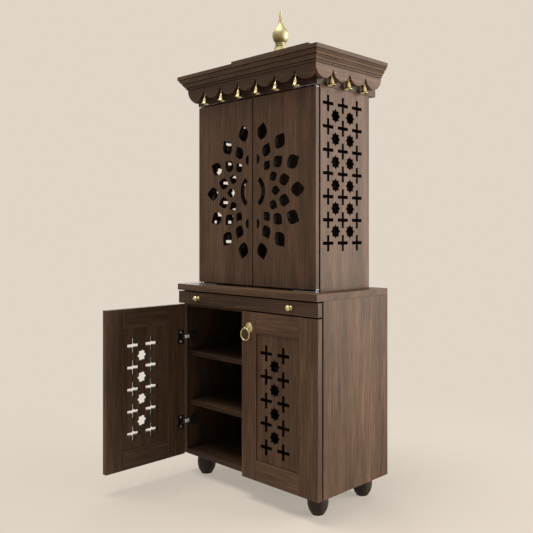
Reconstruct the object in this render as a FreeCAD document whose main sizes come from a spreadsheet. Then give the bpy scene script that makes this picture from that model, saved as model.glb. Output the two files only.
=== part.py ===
import FreeCAD, Part
import math
import os
import re
import Sketcher

# A floor-standing wooden cabinet shrine. Width runs along X, depth along Y with the
# front towards -Y, height along Z. The origin is on the floor under the cabinet's middle.

# Driving sizes in millimetres, angles in degrees

SIZES = {
    "cabinet_width": 762,
    "cabinet_depth": 377,
    "foot_height": 81,
    "foot_sole": 21,
    "foot_edge": 2,
    "foot_calf": 34,
    "foot_calf_level": 22,
    "foot_belly": 38,
    "foot_belly_level": 46,
    "foot_shoulder": 36.5,
    "foot_shoulder_level": 64,
    "foot_neck": 31,
    "foot_inset_side": 76,
    "foot_inset_front": 59,
    "carcass_board": 18,
    "back_board": 12,
    "counter_top_level": 789,
    "counter_thick": 25,
    "counter_overhang": 35,
    "moving_gap": 5,
    "door_gap": 7,
    "door_thick": 22,
    "hinge_stile": 87,
    "meeting_stile": 77,
    "door_rail": 76,
    "panel_thick": 16,
    "panel_recess": 4,
    "panel_tongue": 8,
    "tongue_thick": 6,
    "groove_play": 0.3,
    "cross_span": 58.5,
    "cross_bar": 12,
    "star_reach": 25.5,
    "star_waist": 19,
    "door_jali_pitch": 86,
    "door_jali_shift": 15,
    "door_jali_drop": 6,
    "left_door_open": 90,
    "shelf_setback": 15,
    "shelf_lower_level": 301,
    "shelf_upper_level": 506,
    "divider_level": 714,
    "drawer_face_height": 49.5,
    "drawer_box_height": 36,
    "drawer_back_clearance": 42,
    "drawer_board": 12,
    "drawer_bottom_thick": 6,
    "drawer_lift": 6,
    "runner_width": 13,
    "runner_height": 14,
    "running_gap": 0.3,
    "hinge_inset": 7,
    "hinge_depth": 12,
    "hinge_from_end": 136,
    "cup_radius": 17.5,
    "cup_bore_depth": 12,
    "cup_wall": 1.2,
    "cup_from_edge": 22.5,
    "flange_width": 34,
    "flange_height": 56,
    "flange_thick": 1.5,
    "nose_radius": 3,
    "arm_thick": 5,
    "arm_height": 12,
    "arm_length": 62,
    "plate_width": 34,
    "plate_height": 48,
    "plate_setback": 20,
    "pull_drop": 60,
    "rosette_radius": 19.5,
    "rosette_rim": 1.6,
    "rosette_step_radius": 13,
    "rosette_step_level": 4.4,
    "rosette_thick": 6,
    "pull_post_radius": 4,
    "pull_post_length": 8.5,
    "pull_eye_radius": 5.5,
    "pull_eye_sunk": 1,
    "pull_eye_thick": 5,
    "pull_eye_hole": 3,
    "ring_radius": 22.5,
    "ring_wire": 2.4,
    "knob_offset": 255,
    "knob_radius": 11,
    "knob_base_radius": 8.5,
    "knob_neck_radius": 4.5,
    "knob_base_thick": 2.4,
    "knob_neck_from": 6.5,
    "knob_neck_to": 11,
    "knob_edge_level": 15.5,
    "knob_brow_radius": 8,
    "knob_brow_level": 21,
    "knob_crown_radius": 3.5,
    "knob_length": 24,
    "shrine_width": 641,
    "shrine_depth": 310,
    "shrine_setback": 30.5,
    "shrine_board": 16,
    "shrine_door_thick": 16,
    "shrine_door_lift": 8,
    "shrine_door_height": 721,
    "pivot_inset": 8,
    "pivot_pin_radius": 3,
    "pivot_pin_length": 20,
    "pivot_play": 0.3,
    "pivot_plate_length": 110,
    "pivot_plate_thick": 2.5,
    "door_plate_setback": 3,
    "side_jali_pitch": 83.8,
    "side_jali_drop": 58,
    "side_jali_from_front": 67,
    "petal_inner_radius": 102,
    "petal_inner_length": 44,
    "petal_inner_width": 37.5,
    "petal_middle_radius": 144,
    "petal_middle_length": 57,
    "petal_middle_width": 48,
    "petal_outer_radius": 200,
    "petal_outer_length": 68,
    "petal_outer_width": 56,
    "meeting_margin": 23,
    "crescent_radius": 58,
    "crescent_width": 20,
    "crescent_half_angle": 55,
    "half_petal_low": 103,
    "half_petal_height": 40,
    "half_petal_bulge": 20.5,
    "frieze_height": 69,
    "frieze_proud": 4,
    "ceiling_thick": 12,
    "valance_height": 50,
    "valance_strip": 12.5,
    "valance_thick": 16,
    "valance_front_reach": 35.5,
    "valance_side_reach": 29.5,
    "cornice_height": 54,
    "cornice_reach": 32,
    "cornice_fascia": 14.5,
    "cornice_slope": 8.5,
    "cornice_step": 2.5,
    "cornice_lip": 3,
    "cornice_bead": 2.5,
    "cornice_groove": 3,
    "cornice_groove_depth": 3,
    "soffit_thick": 14,
    "platform_width": 422,
    "platform_depth": 152,
    "platform_height": 61,
    "platform_wall": 12,
    "finial_base_radius": 31,
    "finial_base_height": 9,
    "finial_flare_radius": 25,
    "finial_flare_level": 33,
    "finial_bead_radius": 21.5,
    "finial_bead_height": 5,
    "finial_groove_radius": 18.5,
    "finial_groove_height": 3.5,
    "finial_bulb_radius": 33,
    "finial_bulb_height": 78,
    "finial_spire_radius": 5.8,
    "finial_tip_radius": 3,
    "finial_tip_height": 4,
    "finial_point_radius": 1.2,
    "finial_height": 181,
    "bell_radius": 16,
    "bell_flare": 12.5,
    "bell_flare_level": 5,
    "bell_waist": 9.2,
    "bell_waist_level": 14,
    "bell_shoulder": 6.2,
    "bell_shoulder_level": 26,
    "bell_crown": 3,
    "bell_height": 32,
    "bell_wall": 1.6,
    "bell_hook_radius": 1.5,
}

# How many of each thing that repeats

DOOR_COLUMN_COUNT = 2
DOOR_ROW_COUNT = 5
SIDE_COLUMN_COUNT = 3
SIDE_ROW_COUNT = 7
FRONT_SCALLOP_COUNT = 7
SIDE_SCALLOP_COUNT = 4
STAR_POINT_COUNT = 8
RING_FACET_COUNT = 8
RING_SIDE_COUNT = 20
FOOT_SIDE_COUNT = 16
FINIAL_SIDE_COUNT = 20
ROUND_SIDE_COUNT = 16
BELL_SIDE_COUNT = 8
HOOK_SIDE_COUNT = 6
PETAL_COUNT = 14
BAND_COUNT = 2

# A petal's outline, as shares of its length and of its width

PETAL_WIDEST = 0.5
PETAL_SHOULDER = 0.7
PETAL_SHOULDER_REACH = 0.37
PETAL_ROUNDNESS = 0.78

# The finial's bulb from its foot to the root of the spire, as shares of its radius and height

BULB_SHAPE = [
    (0.70, 0.05), (0.88, 0.15), (0.98, 0.26), (1.0, 0.36), (0.96, 0.49),
    (0.84, 0.61), (0.66, 0.72), (0.45, 0.82), (0.28, 0.91),
]

doc = FreeCAD.newDocument("PoojaMandir")
sheet = doc.addObject("Spreadsheet::Sheet", "Sizes")
for row, (alias, number) in enumerate(SIZES.items(), start=1):
    sheet.set(f"A{row}", alias.replace("_", " "))
    sheet.set(f"B{row}", str(number))
    sheet.setAlias(f"B{row}", alias)
doc.recompute()


def bound(text):
    """The expression with each size's name made to point at the spreadsheet."""
    def point(found):
        word = found.group(0)
        return "Sizes." + word if word in SIZES else word
    return re.sub(r"[a-z_]+", point, text)


def value(text):
    """The number that an expression has now."""
    return float(sheet.evalExpression(bound(text)))


# Derived levels and planes, as expressions of the sizes

HALF_WIDTH = "(cabinet_width / 2)"
FRONT = "(-cabinet_depth / 2)"
BACK = "(cabinet_depth / 2)"
COUNTER_UNDERSIDE = "(counter_top_level - counter_thick)"
FACE_BACK = f"({FRONT} - door_gap)"
FACE_FRONT = f"({FACE_BACK} - door_thick)"
DRAWER_FACE_TOP = f"({COUNTER_UNDERSIDE} - moving_gap)"
DRAWER_FACE_BOTTOM = f"({DRAWER_FACE_TOP} - drawer_face_height)"
DOOR_TOP = f"({DRAWER_FACE_BOTTOM} - moving_gap)"
DOOR_HEIGHT = f"({DOOR_TOP} - foot_height)"
DOOR_WIDTH = f"({HALF_WIDTH} - moving_gap / 2)"
PANEL_WIDTH = f"({DOOR_WIDTH} - hinge_stile - meeting_stile)"
PANEL_HEIGHT = f"({DOOR_HEIGHT} - 2 * door_rail)"
INNER_HALF = f"({HALF_WIDTH} - carcass_board)"
INNER_DEPTH = "(cabinet_depth - back_board)"
SHRINE_FRONT = f"({FRONT} + shrine_setback)"
SHRINE_DOOR_BACK = f"({SHRINE_FRONT} + shrine_door_thick)"
SHRINE_BACK = f"({SHRINE_FRONT} + shrine_depth)"
SHRINE_HALF = "(shrine_width / 2)"
SHRINE_INNER = f"({SHRINE_HALF} - shrine_board)"
SHRINE_DOOR_BOTTOM = "(counter_top_level + shrine_door_lift)"
SHRINE_DOOR_TOP = f"({SHRINE_DOOR_BOTTOM} + shrine_door_height)"
SHRINE_DOOR_WIDTH = f"({SHRINE_HALF} - moving_gap / 2)"
FRIEZE_BOTTOM = f"({SHRINE_DOOR_TOP} + moving_gap)"
FRIEZE_TOP = f"({FRIEZE_BOTTOM} + frieze_height)"
FRIEZE_HALF = f"({SHRINE_HALF} + frieze_proud)"
VALANCE_FRONT = f"({SHRINE_FRONT} - valance_front_reach)"
VALANCE_HALF = f"({SHRINE_HALF} + valance_side_reach)"
CORNICE_INNER_HALF = f"({VALANCE_HALF} - valance_thick)"
CORNICE_INNER_FRONT = f"({VALANCE_FRONT} + valance_thick)"
CORNICE_DEPTH = "(valance_thick + cornice_reach)"
CROWN_TOP = f"({FRIEZE_TOP} + cornice_height)"
CROWN_MIDDLE = f"(({VALANCE_FRONT} + {BACK}) / 2)"
PIVOT_Y = f"({SHRINE_FRONT} + shrine_door_thick / 2)"
PIVOT_X = f"({SHRINE_HALF} - pivot_inset)"
PIVOT_HEEL = "sqrt(pivot_inset^2 + (shrine_door_thick / 2)^2)"
SHRINE_SIDE_FRONT = f"({PIVOT_Y} + {PIVOT_HEEL} + moving_gap)"
LOTUS_LEVEL = "(shrine_door_height / 2)"
HINGE_X = f"({HALF_WIDTH} - hinge_inset)"
HINGE_Y = f"({FACE_BACK} - hinge_depth)"


# Building blocks

def place(made, corner):
    """Bind an object's position to three expressions."""
    for axis, text in zip("xyz", corner):
        made.setExpression("Placement.Base." + axis, bound(text))


def board(label, corner, size):
    """A straight board, from its lowest corner and its three sizes."""
    made = doc.addObject("Part::Box", label)
    made.Label = label
    for side, text in zip(("Length", "Width", "Height"), size):
        made.setExpression(side, bound(text))
    place(made, corner)
    return made


def joined(label, parts):
    """One solid from several that touch."""
    made = doc.addObject("Part::MultiFuse", label)
    made.Label = label
    made.Shapes = parts
    made.Refine = True
    return made


def cut(label, base, tool):
    """A piece with the tool's shape taken out of it."""
    made = doc.addObject("Part::Cut", label)
    made.Label = label
    made.Base = base
    made.Tool = tool
    return made


def group(label, parts):
    """Several like pieces that don't touch, kept as one object."""
    made = doc.addObject("Part::Compound", label)
    made.Label = label
    made.Links = parts
    return made


def mirrored(label, source):
    """The same piece on the other side of the middle plane, X to -X."""
    made = doc.addObject("Part::Mirroring", label)
    made.Label = label
    made.Source = source
    made.Normal = FreeCAD.Vector(1, 0, 0)
    return made


def new_body(label, corner=("0", "0", "0")):
    made = doc.addObject("PartDesign::Body", label)
    made.Label = label
    place(made, corner)
    return made


def sketch_on(made, plane, offset="0", shift=("0", "0")):
    """A sketch on one of the body's own planes, moved along its normal by offset."""
    sketch = made.newObject("Sketcher::SketchObject", made.Name + "_sketch")
    found = [feature for feature in made.Origin.OriginFeatures if feature.Role == plane]
    sketch.AttachmentSupport = (found[0], [""])
    sketch.MapMode = "FlatFace"
    for axis, text in zip("xyz", (shift[0], shift[1], offset)):
        if text != "0":
            sketch.setExpression("AttachmentOffset.Base." + axis, bound(text))
    return sketch


def fix(sketch, kind, where, text):
    """Hold one coordinate of a point at an expression's value."""
    line = -2 if kind == "DistanceX" else -1
    if text == "0":
        sketch.addConstraint(Sketcher.Constraint("PointOnObject", *where, line))
        return
    index = sketch.addConstraint(Sketcher.Constraint(kind, -1, 1, *where, value(text)))
    sketch.setExpression(f"Constraints[{index}]", bound(text))


def outline(sketch, corners, arcs=None):
    """A closed outline through corners, each a pair of expressions.

    arcs gives, for the number of a side, its radius and which way it turns:
    +1 to the left as the outline is followed, -1 to the right.
    """
    arcs = arcs or {}
    upward = FreeCAD.Vector(0, 0, 1)
    points = [FreeCAD.Vector(value(across), value(up), 0) for across, up in corners]
    first = sketch.GeometryCount
    ends = []
    for side, start in enumerate(points):
        finish = points[(side + 1) % len(points)]
        if side not in arcs:
            sketch.addGeometry(Part.LineSegment(start, finish))
            ends.append((1, 2))
            continue
        text, turn = arcs[side]
        radius = value(text)
        chord = finish - start
        across = FreeCAD.Vector(-chord.y, chord.x, 0).normalize()
        rise = math.sqrt(max(radius ** 2 - (chord.Length / 2) ** 2, 0))
        centre = (start + finish) / 2 + across * (turn * rise)
        begin, end = (start, finish) if turn > 0 else (finish, start)
        angles = [math.atan2(point.y - centre.y, point.x - centre.x) for point in (begin, end)]
        sketch.addGeometry(Part.ArcOfCircle(Part.Circle(centre, upward, radius), *angles))
        ends.append((1, 2) if turn > 0 else (2, 1))
    for side, (across, up) in enumerate(corners):
        here = first + side
        after = first + (side + 1) % len(corners)
        following = ends[(side + 1) % len(corners)][0]
        sketch.addConstraint(Sketcher.Constraint("Coincident", here, ends[side][1], after, following))
        fix(sketch, "DistanceX", (here, ends[side][0]), across)
        fix(sketch, "DistanceY", (here, ends[side][0]), up)
    for side, (text, turn) in arcs.items():
        index = sketch.addConstraint(Sketcher.Constraint("Radius", first + side, value(text)))
        sketch.setExpression(f"Constraints[{index}]", bound(text))


def rectangle(sketch, low, high):
    """A rectangle between two corners."""
    outline(sketch, [low, (high[0], low[1]), high, (low[0], high[1])])


def disc(sketch, across, up, radius):
    """A disc with few flat sides, from its centre and the radius of its corners."""
    corners = []
    for side in range(ROUND_SIDE_COUNT):
        angle = (side + 0.5) * 360 / ROUND_SIDE_COUNT
        corners.append((f"{across} + ({radius}) * cos({angle})", f"{up} + ({radius}) * sin({angle})"))
    outline(sketch, corners)


def pad(made, sketch, length, backwards=False):
    feature = made.newObject("PartDesign::Pad", made.Name + "_pad")
    feature.Profile = sketch
    feature.setExpression("Length", bound(length))
    feature.Reversed = backwards
    return feature


def pocket(made, sketch, length, backwards=False):
    feature = made.newObject("PartDesign::Pocket", made.Name + "_pocket")
    feature.Profile = sketch
    feature.setExpression("Length", bound(length))
    feature.Reversed = backwards
    return feature


def moved(label, source, corner=("0", "0", "0"), rotation=None):
    """A copy of a piece at a new place, turned by a rotation if one is given."""
    made = doc.addObject("Part::Compound", label)
    made.Label = label
    made.Links = [source]
    if rotation:
        made.Placement.Rotation = rotation
    place(made, corner)
    return made


def flat_turned(label, profile, sides):
    """A turned form with few flat sides, upright on the origin.

    profile gives radius and level from the bottom up. Its outline is padded right across,
    and turned copies of that slab keep only what they all share.
    """
    slab = new_body(label + "_slab")
    sketch = sketch_on(slab, "XZ_Plane")
    outline(sketch, profile + [(f"-{radius}", level) for radius, level in reversed(profile)])
    widest = max((radius for radius, level in profile), key=value)
    pad(slab, sketch, f"3 * {widest}").Midplane = True
    upright = FreeCAD.Vector(0, 0, 1)
    slabs = []
    for turn in range(sides // 2):
        rotation = FreeCAD.Rotation(upright, turn * 360 / sides)
        slabs.append(moved(f"{label}_slab_{turn}", slab, rotation=rotation))
    made = doc.addObject("Part::MultiCommon", label)
    made.Label = label
    made.Shapes = slabs
    return made


def bar(label, corner, radius, length, sides):
    """A straight upright bar with a few flat sides, from the centre of its lower end."""
    made = doc.addObject("Part::Prism", label)
    made.Label = label
    made.Polygon = sides
    made.setExpression("Circumradius", bound(radius))
    made.setExpression("Height", bound(length))
    place(made, corner)
    return made


def repeat(made, feature, sketch, axis, step, copies, second=None):
    """Copies of a feature at equal steps along a sketch axis, and along a second one."""
    pattern = made.newObject("PartDesign::LinearPattern", made.Name + "_pattern")
    pattern.Originals = [feature]
    pattern.Direction = (sketch, [axis])
    pattern.Occurrences = copies
    pattern.setExpression("Length", bound(f"{copies - 1} * ({step})"))
    if second:
        axis_2, step_2, copies_2 = second
        pattern.Direction2 = (sketch, [axis_2])
        pattern.Occurrences2 = copies_2
        pattern.setExpression("Length2", bound(f"{copies_2 - 1} * ({step_2})"))
    made.Tip = pattern
    return pattern


# Lattice holes: an upright cross and an eight-pointed star

def cross(sketch, across, up):
    """A plus-shaped hole, centred at two expressions."""
    arm = "cross_span / 2"
    bar = "cross_bar / 2"
    steps = [(arm, bar), (bar, bar), (bar, arm)]
    turned = [(1, 1), (-1, 1), (-1, -1), (1, -1)]
    corners = []
    for quarter, (side, rise) in enumerate(turned):
        ordered = steps if quarter % 2 == 0 else steps[::-1]
        corners += [(f"{across} + {side} * {x}", f"{up} + {rise} * {z}") for x, z in ordered]
    outline(sketch, corners)


def star(sketch, across, up):
    """An eight-pointed star, as two turned squares make it."""
    corners = []
    for point in range(2 * STAR_POINT_COUNT):
        reach = "star_reach" if point % 2 == 0 else "star_waist"
        angle = point * 180 / STAR_POINT_COUNT
        corners.append((f"{across} + {reach} * cos({angle})", f"{up} + {reach} * sin({angle})"))
    outline(sketch, corners)


def lattice(made, plane, first, pitch, columns, rows, depth, backwards=False):
    """Rows and columns of crosses with a star at the middle of each four."""
    across, up = first
    crosses = sketch_on(made, plane)
    cross(crosses, across, up)
    hole = pocket(made, crosses, depth, backwards)
    repeat(made, hole, crosses, "H_Axis", pitch, columns, ("V_Axis", pitch, rows))
    stars = sketch_on(made, plane)
    star(stars, f"{across} + {pitch} / 2", f"{up} + {pitch} / 2")
    hole = pocket(made, stars, depth, backwards)
    if columns > 2:
        repeat(made, hole, stars, "H_Axis", pitch, columns - 1, ("V_Axis", pitch, rows - 1))
    else:
        repeat(made, hole, stars, "V_Axis", pitch, rows - 1)


# Feet: four turned bun feet

def feet():
    profile = [
        ("foot_sole", "0"),
        ("(foot_sole + foot_edge)", "foot_edge"),
        ("foot_calf", "foot_calf_level"),
        ("foot_belly", "foot_belly_level"),
        ("foot_shoulder", "foot_shoulder_level"),
        ("foot_neck", "foot_height"),
    ]
    foot = flat_turned("foot", profile, FOOT_SIDE_COUNT)
    places = []
    for name, end in (("front", -1), ("rear", 1)):
        for hand, side in (("left", -1), ("right", 1)):
            x = f"{side} * ({HALF_WIDTH} - foot_inset_side)"
            y = f"{end} * (cabinet_depth / 2 - foot_inset_front)"
            places.append(moved(f"foot_{name}_{hand}", foot, (x, y, "0")))
    group("feet", places)


# Lower cabinet

def lower_cabinet():
    side_size = ("carcass_board", "cabinet_depth", f"{COUNTER_UNDERSIDE} - foot_height")
    sides = []
    for name, low in (("left", f"-{HALF_WIDTH}"), ("right", INNER_HALF)):
        sides.append(board(f"side_panel_{name}", (low, FRONT, "foot_height"), side_size))
    group("side_panels", sides)
    inner_width = f"2 * {INNER_HALF}"
    low_x = f"-{INNER_HALF}"
    bottom_size = (inner_width, "cabinet_depth", "carcass_board")
    board("cabinet_bottom", (low_x, FRONT, "foot_height"), bottom_size)
    back_low = "(foot_height + carcass_board)"
    back_size = (inner_width, "back_board", f"{COUNTER_UNDERSIDE} - {back_low}")
    board("cabinet_back", (low_x, f"{BACK} - back_board", back_low), back_size)
    shelf_size = (inner_width, f"{INNER_DEPTH} - shelf_setback", "carcass_board")
    shelves = []
    for name, level in (("lower", "shelf_lower_level"), ("upper", "shelf_upper_level")):
        corner = (low_x, f"{FRONT} + shelf_setback", f"{level} - carcass_board")
        shelves.append(board(f"shelf_{name}", corner, shelf_size))
    group("shelves", shelves)
    corner = (low_x, FRONT, "divider_level - carcass_board")
    board("tray_divider", corner, (inner_width, INNER_DEPTH, "carcass_board"))
    counter_corner = (f"-{HALF_WIDTH}", f"{FRONT} - counter_overhang", COUNTER_UNDERSIDE)
    counter_size = ("cabinet_width", "cabinet_depth + counter_overhang", "counter_thick")
    board("counter_top", counter_corner, counter_size)
    feet()


# Pull-out tray under the counter, on two side runners

TRAY_BOX_BOTTOM = "(divider_level + drawer_lift)"
TRAY_OUTER_HALF = f"({INNER_HALF} - runner_width - running_gap)"
TRAY_INNER_HALF = f"({TRAY_OUTER_HALF} - drawer_board)"
TRAY_DEPTH = f"({INNER_DEPTH} + door_gap - drawer_back_clearance)"


FORWARD = FreeCAD.Rotation(FreeCAD.Vector(1, 0, 0), 90)


def knobs():
    """Two mushroom knobs on round bases, standing out of the tray's face."""
    profile = [
        ("knob_base_radius", "0"),
        ("knob_base_radius", "knob_base_thick"),
        ("knob_neck_radius", "knob_neck_from"),
        ("knob_neck_radius", "knob_neck_to"),
        ("knob_radius", "knob_edge_level"),
        ("knob_brow_radius", "knob_brow_level"),
        ("knob_crown_radius", "knob_length"),
    ]
    knob = flat_turned("knob", profile, ROUND_SIDE_COUNT)
    level = f"({DRAWER_FACE_BOTTOM} + drawer_face_height / 2)"
    pair = []
    for name, across in (("left", "-knob_offset"), ("right", "knob_offset")):
        pair.append(moved(f"knob_{name}", knob, (across, FACE_FRONT, level), FORWARD))
    group("drawer_knobs", pair)


def tray():
    face_corner = (f"-{HALF_WIDTH}", FACE_FRONT, DRAWER_FACE_BOTTOM)
    board("drawer_face", face_corner, ("cabinet_width", "door_thick", "drawer_face_height"))
    side_size = ("drawer_board", TRAY_DEPTH, "drawer_box_height")
    sides = []
    for name, low in (("left", f"-{TRAY_OUTER_HALF}"), ("right", TRAY_INNER_HALF)):
        sides.append(board(f"drawer_side_{name}", (low, FACE_BACK, TRAY_BOX_BOTTOM), side_size))
    group("drawer_sides", sides)
    inner = f"2 * {TRAY_INNER_HALF}"
    low_x = f"-{TRAY_INNER_HALF}"
    back_corner = (low_x, f"{FACE_BACK} + {TRAY_DEPTH} - drawer_board", TRAY_BOX_BOTTOM)
    board("drawer_back", back_corner, (inner, "drawer_board", "drawer_box_height"))
    bottom_size = (inner, f"{TRAY_DEPTH} - drawer_board", "drawer_bottom_thick")
    board("drawer_bottom", (low_x, FACE_BACK, TRAY_BOX_BOTTOM), bottom_size)
    knobs()
    level = f"{TRAY_BOX_BOTTOM} + (drawer_box_height - runner_height) / 2"
    size = ("runner_width", f"{TRAY_DEPTH} - door_gap", "runner_height")
    left = board("runner_left", (f"-{INNER_HALF}", FRONT, level), size)
    right = board("runner_right", (f"{INNER_HALF} - runner_width", FRONT, level), size)
    group("tray_runners", [left, right])


# Frame-and-panel doors of the lower cabinet. A leaf is drawn shut in the left opening, with
# its hinge edge at the cabinet's left side, and the right leaf is its mirror image.

LEAF = (f"-{HALF_WIDTH}", FACE_FRONT, "foot_height")
TONGUE_LOW = "(panel_recess + (panel_thick - tongue_thick) / 2)"
GROOVE_LOW = f"({TONGUE_LOW} - groove_play)"
GROOVE_WIDE = "(tongue_thick + 2 * groove_play)"
GROOVE_DEEP = "(panel_tongue + groove_play)"
CUP_LEVELS = ("hinge_from_end", f"({DOOR_HEIGHT} - hinge_from_end)")
HEEL = "sqrt(hinge_inset^2 + hinge_depth^2)"
NOSE_REACH = f"({HEEL} + running_gap + nose_radius)"
NOSE_X = f"({NOSE_REACH} * hinge_depth / {HEEL})"
NOSE_Y = f"({NOSE_REACH} * hinge_inset / {HEEL})"
CUP_FLOOR = f"(hinge_depth - {NOSE_Y} + nose_radius + running_gap)"
PULL_X = f"({DOOR_WIDTH} - meeting_stile / 2)"
PULL_LEVEL = f"({DOOR_HEIGHT} - pull_drop)"
EYE_REACH = "(rosette_thick + pull_post_length + pull_eye_radius - pull_eye_sunk)"


def in_leaf(across, deep, up):
    """A corner given in the leaf's own directions."""
    return (f"{LEAF[0]} + {across}", f"{LEAF[1]} + {deep}", f"{LEAF[2]} + {up}")


def stile(name, low, width, groove_at, cups):
    """An upright of the door's frame with a groove for the panel, and cup bores."""
    made = new_body(name, LEAF)
    section = sketch_on(made, "XY_Plane")
    rectangle(section, (low, "0"), (f"{low} + {width}", "door_thick"))
    pad(made, section, DOOR_HEIGHT)
    groove = sketch_on(made, "XY_Plane", "door_rail - panel_tongue")
    high = (f"{groove_at} + {GROOVE_DEEP}", f"{GROOVE_LOW} + {GROOVE_WIDE}")
    rectangle(groove, (groove_at, GROOVE_LOW), high)
    pocket(made, groove, f"{PANEL_HEIGHT} + 2 * panel_tongue", True)
    if cups:
        bores = sketch_on(made, "XZ_Plane", "-door_thick")
        for level in CUP_LEVELS:
            disc(bores, "cup_from_edge", level, "cup_radius + groove_play")
        pocket(made, bores, "cup_bore_depth + groove_play", True)
    return made


def rail(name, level, groove_level):
    """A crosspiece of the door's frame with a groove for the panel."""
    made = new_body(name, LEAF)
    section = sketch_on(made, "YZ_Plane", "hinge_stile")
    rectangle(section, ("0", level), ("door_thick", f"{level} + door_rail"))
    pad(made, section, PANEL_WIDTH)
    groove = sketch_on(made, "YZ_Plane", "hinge_stile")
    high = (f"{GROOVE_LOW} + {GROOVE_WIDE}", f"{groove_level} + {GROOVE_DEEP}")
    rectangle(groove, (GROOVE_LOW, groove_level), high)
    pocket(made, groove, PANEL_WIDTH, True)
    return made


def door_panel(name):
    """The lattice panel: a thick field with a thinner tongue held in the frame's grooves."""
    made = new_body(name, LEAF)
    layers = ((TONGUE_LOW, "tongue_thick", "panel_tongue"), ("panel_recess", "panel_thick", "(-groove_play)"))
    for depth, thick, beyond in layers:
        layer = sketch_on(made, "XZ_Plane", f"-{depth}")
        low = (f"hinge_stile - {beyond}", f"door_rail - {beyond}")
        high = (f"hinge_stile + {PANEL_WIDTH} + {beyond}", f"{DOOR_HEIGHT} - door_rail + {beyond}")
        rectangle(layer, low, high)
        pad(made, layer, thick, True)
    middle_x = f"(hinge_stile + {PANEL_WIDTH} / 2 + door_jali_shift)"
    middle_z = f"({DOOR_HEIGHT} / 2 - door_jali_drop)"
    first_x = f"({middle_x} - {DOOR_COLUMN_COUNT - 1} * door_jali_pitch / 2)"
    first_z = f"({middle_z} - {DOOR_ROW_COUNT - 1} * door_jali_pitch / 2)"
    depth = "panel_recess + panel_thick"
    lattice(made, "XZ_Plane", (first_x, first_z), "door_jali_pitch", DOOR_COLUMN_COUNT, DOOR_ROW_COUNT, depth)
    return made


def hinge_cup(name, level):
    """A concealed hinge's cup with its flange, let into the inner face of the door."""
    made = new_body(name, LEAF)
    back = "-door_thick"
    flange = sketch_on(made, "XZ_Plane", back)
    low = ("cup_from_edge - flange_width / 2", f"{level} - flange_height / 2")
    high = ("cup_from_edge + flange_width / 2", f"{level} + flange_height / 2")
    rectangle(flange, low, high)
    disc(flange, "cup_from_edge", level, "cup_radius - cup_wall")
    pad(made, flange, "flange_thick", True)
    wall = sketch_on(made, "XZ_Plane", back)
    disc(wall, "cup_from_edge", level, "cup_radius")
    disc(wall, "cup_from_edge", level, "cup_radius - cup_wall")
    pad(made, wall, "cup_bore_depth")
    floor = sketch_on(made, "XZ_Plane", f"{back} + {CUP_FLOOR}")
    disc(floor, "cup_from_edge", level, "cup_radius - cup_wall / 2")
    pad(made, floor, f"cup_bore_depth - {CUP_FLOOR}")
    return made


def pull(name):
    """The pull's fixed part: rosette, post and eye as one casting."""
    profile = [
        ("rosette_radius", "0"),
        ("rosette_radius", "rosette_rim"),
        ("rosette_step_radius", "rosette_step_level"),
        ("pull_post_radius", "rosette_thick"),
        ("pull_post_radius", "(rosette_thick + pull_post_length)"),
    ]
    rosette = flat_turned(name + "_rosette", profile, ROUND_SIDE_COUNT)
    plate = moved(name + "_plate", rosette, in_leaf(PULL_X, "0", PULL_LEVEL), FORWARD)
    eye = crossways(name + "_eye", "pull_eye_radius", "pull_eye_thick")
    hole = crossways(name + "_hole", "pull_eye_hole", "pull_eye_thick * 2")
    return cut(name, joined(name + "_blank", [plate, eye]), hole)


def crossways(name, radius, length):
    """A bar along X through the middle of the pull's eye."""
    corner = in_leaf(f"{PULL_X} - {length} / 2", f"-{EYE_REACH}", PULL_LEVEL)
    made = bar(name, corner, radius, length, ROUND_SIDE_COUNT)
    made.Placement.Rotation = FreeCAD.Rotation(FreeCAD.Vector(0, 1, 0), 90)
    return made


def ring(name):
    """The loose ring that hangs from the pull's eye, with flat sides round and along."""
    halves = {"outer": [], "inner": []}
    for side in range(RING_FACET_COUNT // 2):
        angle = f"(({side + 0.5} * 360 / {RING_FACET_COUNT}) - 90)"
        across = f"ring_wire * cos({angle})"
        level = f"(ring_wire * sin({angle}))"
        halves["outer"].append((f"(ring_radius + {across})", level))
        halves["inner"].append((f"(ring_radius - {across})", level))
    outer, inner = (flat_turned(f"{name}_{half}", profile, RING_SIDE_COUNT) for half, profile in halves.items())
    corner = in_leaf(PULL_X, f"-{EYE_REACH}", f"{PULL_LEVEL} - ring_radius")
    return moved(name, cut(name + "_round", outer, inner), corner, FORWARD)


def opened(label, source):
    """The left leaf's piece, swung out about the hinge axis by its resting angle."""
    made = doc.addObject("Part::Compound", label)
    made.Label = label
    made.Links = [source]
    made.Placement.Rotation = FreeCAD.Rotation(FreeCAD.Vector(0, 0, 1), -90)
    made.setExpression("Placement.Rotation.Angle", bound("-left_door_open"))
    axis_x = f"(-{HINGE_X})"
    turned_x = f"({axis_x} * cos(left_door_open) + {HINGE_Y} * sin(left_door_open))"
    turned_y = f"({HINGE_Y} * cos(left_door_open) - {axis_x} * sin(left_door_open))"
    made.setExpression("Placement.Base.x", bound(f"{axis_x} - {turned_x}"))
    made.setExpression("Placement.Base.y", bound(f"{HINGE_Y} - {turned_y}"))
    return made


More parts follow.
